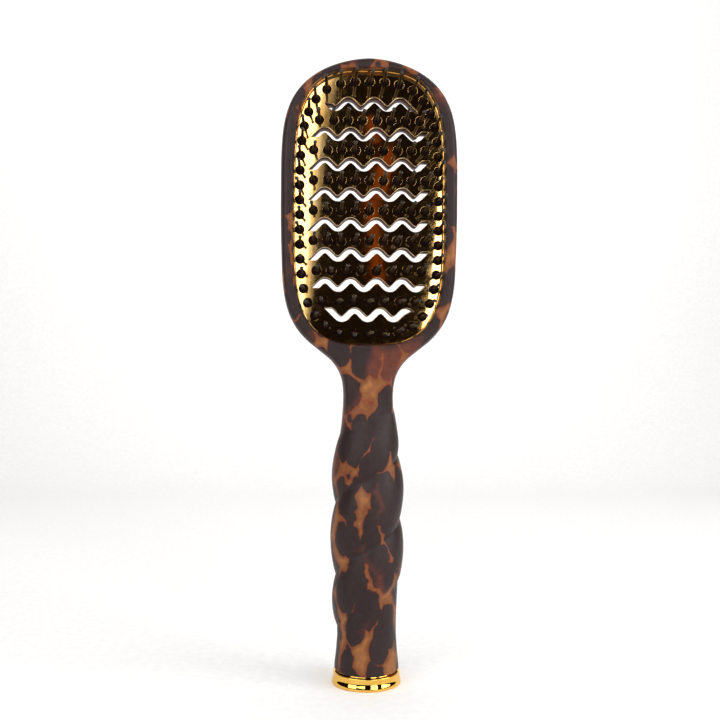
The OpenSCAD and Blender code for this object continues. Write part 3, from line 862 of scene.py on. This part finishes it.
# %% Straight rows of pins
row_tree, row_in = group_with("pins_in_a_row", [
    ("Count", 9), ("Spacing", 5.25 * MM), ("Height", ROW_Z * MM), ("Strip half-height", 1.7 * MM),
    *PIN_SIZES])
span = maths(row_tree, "SUBTRACT", row_in.outputs["Count"], 1.0)
span = maths(row_tree, "MULTIPLY", span, row_in.outputs["Spacing"])
first_x = maths(row_tree, "MULTIPLY", span, -0.5)
first = add(row_tree, "ShaderNodeCombineXYZ", {0: first_x, 2: row_in.outputs["Height"]})
stride = add(row_tree, "ShaderNodeCombineXYZ", {0: row_in.outputs["Spacing"]})
line = add(row_tree, "GeometryNodeMeshLine",
           {"Count": row_in.outputs["Count"], "Start Location": first, "Offset": stride}, mode="OFFSET")
strip_long = maths(row_tree, "ADD", span, STRIP_H * MM)
strip_tall = maths(row_tree, "MULTIPLY", row_in.outputs["Strip half-height"], 2.0)
strip_size = add(row_tree, "ShaderNodeCombineXYZ", {0: strip_long, 1: STRIP_T * MM, 2: strip_tall})
strip_at = add(row_tree, "ShaderNodeCombineXYZ", {1: STRIP_Y * MM, 2: row_in.outputs["Height"]})
bar = add(row_tree, "GeometryNodeMeshCube", {"Size": strip_size, "Vertices X": 24, "Vertices Z": 3})
bar = add(row_tree, "GeometryNodeTransform", {"Geometry": bar.outputs[0], "Translation": strip_at})
finish_tree(row_tree, row_in, line, pin_in(row_tree, row_in), bar.outputs[0])
for i, (n, gap) in enumerate(zip(ROW_COUNTS, ROW_SPACINGS)):
    values = {"Count": n, "Spacing": gap * MM, "Seed": 11 + i,
              "Height": (ROW_Z + ROW_PITCH * (3 - i)) * MM}
    row = run_tree(f"pins_row_{i + 1}", row_tree, values, nylon)
    place(row, "pin_nylon", f"pin_row_{i + 1}")

# %% The four arcs of pins round the edge
arc_tree, arc_in = group_with("pins_round_an_oval", [
    ("Half width", RING_A * MM), ("Half height", RING_B * MM), ("Middle height", RING_Z * MM),
    ("Count", RING_COUNT), ("First pin", 0), ("Pins in this arc", RING_COUNT), *PIN_SIZES])
circle = add(arc_tree, "GeometryNodeCurvePrimitiveCircle", {"Resolution": 720, "Radius": 1.0})
spot = add(arc_tree, "GeometryNodeInputPosition")
split = add(arc_tree, "ShaderNodeSeparateXYZ", {0: spot})
powers = []
for axis, power in ((0, 2 / 4), (1, 2 / 3)):
    size = maths(arc_tree, "ABSOLUTE", split.outputs[axis])
    size = maths(arc_tree, "POWER", size, power)
    sign = maths(arc_tree, "SIGN", split.outputs[axis])
    powers.append(maths(arc_tree, "MULTIPLY", size, sign))
# The circle starts on the right; a quarter turn puts its first point at the top of the oval.
oval_x = maths(arc_tree, "MULTIPLY", powers[1], arc_in.outputs["Half width"])
oval_x = maths(arc_tree, "MULTIPLY", oval_x, -1.0)
oval_z = maths(arc_tree, "MULTIPLY", powers[0], arc_in.outputs["Half height"])
oval_z = maths(arc_tree, "ADD", oval_z, arc_in.outputs["Middle height"])
to_oval = add(arc_tree, "ShaderNodeCombineXYZ", {0: oval_x, 2: oval_z})
path = add(arc_tree, "GeometryNodeSetPosition", {"Geometry": circle, "Position": to_oval})
stops = add(arc_tree, "GeometryNodeCurveToPoints",
            {"Curve": path, "Count": arc_in.outputs["Count"]}, mode="COUNT")
along = add(arc_tree, "GeometryNodeCaptureAttribute", {"Geometry": stops.outputs["Points"]})
along.capture_items.new("VECTOR", "Tangent")
arc_tree.links.new(stops.outputs["Tangent"], along.inputs["Tangent"])
# Counted from the arc's first pin, those past its last pin are taken away.
number = add(arc_tree, "GeometryNodeInputIndex")
number = maths(arc_tree, "SUBTRACT", number, arc_in.outputs["First pin"])
number = maths(arc_tree, "FLOORED_MODULO", number, arc_in.outputs["Count"])
number = maths(arc_tree, "ADD", number, 0.5)
outside = maths(arc_tree, "GREATER_THAN", number, arc_in.outputs["Pins in this arc"])
kept = add(arc_tree, "GeometryNodeDeleteGeometry",
           {"Geometry": along.outputs[0], "Selection": outside}, domain="POINT")
LINK_LONG = 7.0
link = add(arc_tree, "GeometryNodeMeshCube",
           {"Size": (LINK_LONG * MM, STRIP_T * MM, STRIP_H * MM), "Vertices X": 3})
facing = add(arc_tree, "FunctionNodeAlignEulerToVector", {"Vector": along.outputs["Tangent"]},
             axis="X", pivot_axis="Y")
links = add(arc_tree, "GeometryNodeInstanceOnPoints",
            {"Points": kept, "Instance": link, "Rotation": facing})
links = add(arc_tree, "GeometryNodeTransform",
            {"Geometry": links, "Translation": (0, STRIP_Y * MM, 0)})
finish_tree(arc_tree, arc_in, kept, pin_in(arc_tree, arc_in), links.outputs[0])
# Each arc has its CAD part, the number of its first pin round the oval, and its count of pins.
ARCS = [("pin_arc_top", 41, 11), ("pin_arc_left", 6, 12),
        ("pin_arc_bottom", 18, 11), ("pin_arc_right", 29, 12)]
for node_name, first_pin, pins_here in ARCS:
    values = {"First pin": first_pin, "Pins in this arc": pins_here, "Seed": 3 + first_pin}
    arc = run_tree(node_name.replace("pin_", "pins_"), arc_tree, values, nylon)
    place(arc, "pin_nylon", node_name)

# %% [markdown]
# ## The end cap
# The cap is turned about the handle's axis, so one outline spun round makes it. Its band is upright
# at the top, flares a little and rounds under at the base. The ledge above it is a separate step,
# which shows as a thin bright line below the handle.

# %% Spin the cap
def spun(name, outline, material, count=160):
    """A closed turned piece from an outline of (radius, height) points."""
    build = Build()
    a = np.linspace(0, 2 * math.pi, count, endpoint=False)
    rows = [np.stack([r * np.cos(a), r * np.sin(a), np.full(count, z)], 1) for r, z in outline]
    build.rows(rows, closed=True)
    return to_mesh(name, build.points, build.faces, material)


CAP_R, BASE_R, BASE_ROUND, FLARE, FLARE_TALL = 13.15, 12.55, 0.6, 0.55, 2.6
TOP_R, TOP_Z, TOP_ROUND = 12.35, 4.45, 0.25
AXIS_R, FLAT_R, LEDGE_R, SPIGOT_R, BORE_R = 0.01, 11.5, 11.3, 8, 6.2
SPIGOT_TOP, BORE_FLOOR = 12.5, 2.2
base_round = [(BASE_R + BASE_ROUND * math.sin(a), BASE_ROUND - BASE_ROUND * math.cos(a))
              for a in np.linspace(0, math.pi / 2, 8)]
flare = [(CAP_R - FLARE * ease((z - BASE_ROUND) / FLARE_TALL), z) for z in np.linspace(0.75, 3.6, 12)]
shoulder = [(TOP_R + TOP_ROUND * math.cos(a), TOP_Z + TOP_ROUND * math.sin(a))
            for a in np.linspace(0, math.pi / 2, 6)]
ledge = [(FLAT_R, 4.72), (11.35, 4.78), (LEDGE_R, 4.9), (LEDGE_R, 5.25)]
spigot = [(SPIGOT_R, 5.3), (7.98, 12.3), (7.7, SPIGOT_TOP), (BORE_R, SPIGOT_TOP),
          (BORE_R, BORE_FLOOR), (AXIS_R, BORE_FLOOR)]
cap_outline = [(AXIS_R, 0), (FLAT_R, 0), *base_round, *flare, *shoulder, *ledge, *spigot]
cap = spun("end_cap_gold", cap_outline, cap_gold)
place(cap, "gold_cap", "end_cap")

# %% [markdown]
# ## The studio
# The brush stands on a white sweep: a floor that runs on far in front and curves up behind into a
# backdrop. One large soft lamp stands on each side, and two lamps over the sweep make it white. The
# plate is a mirror, so what it shows has to be there to be seen: panels far in front of it stand for
# the studio's bright walls, and three small amber ones for a warm reflection in its middle.

# %% Floor and backdrop
def sweep_paper():
    """Matt white paper with a trace of fibre."""
    made, tree, shader, where = new_material("paper_white_matt")
    fibre = add(tree, "ShaderNodeTexNoise", {"Vector": where, "Scale": 300, "Detail": 3})
    tone = ramp(add(tree, "ShaderNodeValToRGB", {0: fibre}), (0.3, "#f2f1f0"), (0.7, "#f7f7f6"))
    tree.links.new(tone.outputs[0], shader.inputs["Base Color"])
    shader.inputs["Roughness"].default_value = 0.9
    shader.inputs["Specular IOR Level"].default_value = 0.2
    return made


FLOOR_FRONT, BEND_START, BEND_R, BACKDROP_TOP, SWEEP_HALF_W = -1100, 500, 300, 1100, 1300
bend = [(BEND_START + BEND_R * math.sin(a), BEND_R - BEND_R * math.cos(a))
        for a in np.linspace(0, math.pi / 2, 16)]
side_view = [(FLOOR_FRONT, 0), (0, 0), (200, 0), *bend, (BEND_START + BEND_R, BACKDROP_TOP)]
floor_build = Build()
floor_build.rows([[(x, y, z) for x in np.linspace(-SWEEP_HALF_W, SWEEP_HALF_W, 3)]
                  for y, z in side_view])
floor = to_mesh("floor_sweep", floor_build.points, floor_build.faces, sweep_paper())

# %% Lamps
def soft_lamp(name, spot, aim, size, glow, tint="#ffffff", roll=0.0):
    """A rectangular area lamp at spot, facing aim, in millimetres. Glow is its brightness as seen."""
    light = bpy.data.lights.new(name, "AREA")
    light.shape = "RECTANGLE"
    light.size, light.size_y = size[0] * MM, size[1] * MM
    light.energy = glow * math.pi * light.size * light.size_y
    light.color = colour(tint)[:3]
    lamp = put_in_scene(name, light)
    lamp.location = Vector(spot) * MM
    way = (Vector(aim) - Vector(spot)).normalized()
    facing = way.to_track_quat("-Z", "Y").to_matrix().to_4x4() @ Matrix.Rotation(roll, 4, "Z")
    lamp.rotation_euler = facing.to_euler()


PANEL_Y = -700
soft_lamp("lamp_left", (-520, -420, 360), (0, 0, 170), (360, 560), 3.4, roll=0.06)
soft_lamp("lamp_right", (560, -260, 340), (0, 0, 150), (420, 560), 5.0, roll=0.06)
# Three panels side by side show at the plate's left, from a faint strip to a bright one. They lean
# over by 0.21 radians, so each step from the inner edge goes ACROSS_X sideways and ACROSS_Z up.
EDGE_X, EDGE_Z, ACROSS_X, ACROSS_Z, PANEL_TALL = -18, 431, -0.978, 0.208, 620
for name, near, far, glow in (("faint", 0, 14, 0.3), ("dim", 14, 32, 0.9), ("bright", 32, 600, 3.6)):
    middle = (near + far) / 2
    x, z = EDGE_X + ACROSS_X * middle, EDGE_Z + ACROSS_Z * middle
    soft_lamp("panel_left_" + name, (x, PANEL_Y, z), (x, 0, z), (far - near, PANEL_TALL), glow, roll=-0.21)
soft_lamp("panel_right", (373, PANEL_Y, 331), (373, 0, 331), (300, 570), 5.0, roll=-0.337)
AMBER = [(44, 250, 12, 100, 0.1), (54, 330, 18, 60, -0.3), (40, 385, 10, 40, 0.2)]
for i, (x, z, wide, tall, roll) in enumerate(AMBER):
    soft_lamp(f"panel_amber_{i + 1}", (x, PANEL_Y, z), (x, 0, z), (wide, tall), 0.34, "#c86a1e", roll)
soft_lamp("lamp_over_sweep", (0, 330, 850), (0, 380, 0), (1400, 700), 0.85)
soft_lamp("lamp_backdrop", (0, 120, 700), (0, 800, 250), (1400, 400), 1.5)
print("lamps:", len(bpy.data.lights))

# %% The dark round the studio
world = bpy.data.worlds.new("dark_studio")
bpy.context.scene.world = world
world.use_nodes = True
background = world.node_tree.nodes["Background"]
background.inputs["Color"].default_value = colour("#2b2523")
background.inputs["Strength"].default_value = 0.35
bpy.context.scene.view_settings.view_transform = "Standard"

# %% [markdown]
# ## The camera
# The camera is level with the middle of the brush, 36 cm away and a little to the left, so the
# undersides of the slots show in the upper part of the head.

# %% Camera
lens = bpy.data.cameras.new("camera")
lens.lens = 47.5
lens.clip_start = 0.01
camera = put_in_scene("camera", lens)
camera.location = Vector((-19, -360.5, 122)) * MM
camera.rotation_euler = (math.pi / 2, -0.0052, math.radians(-2.54))
bpy.context.scene.camera = camera
print("camera at", [round(v / MM, 1) for v in camera.location], "mm")
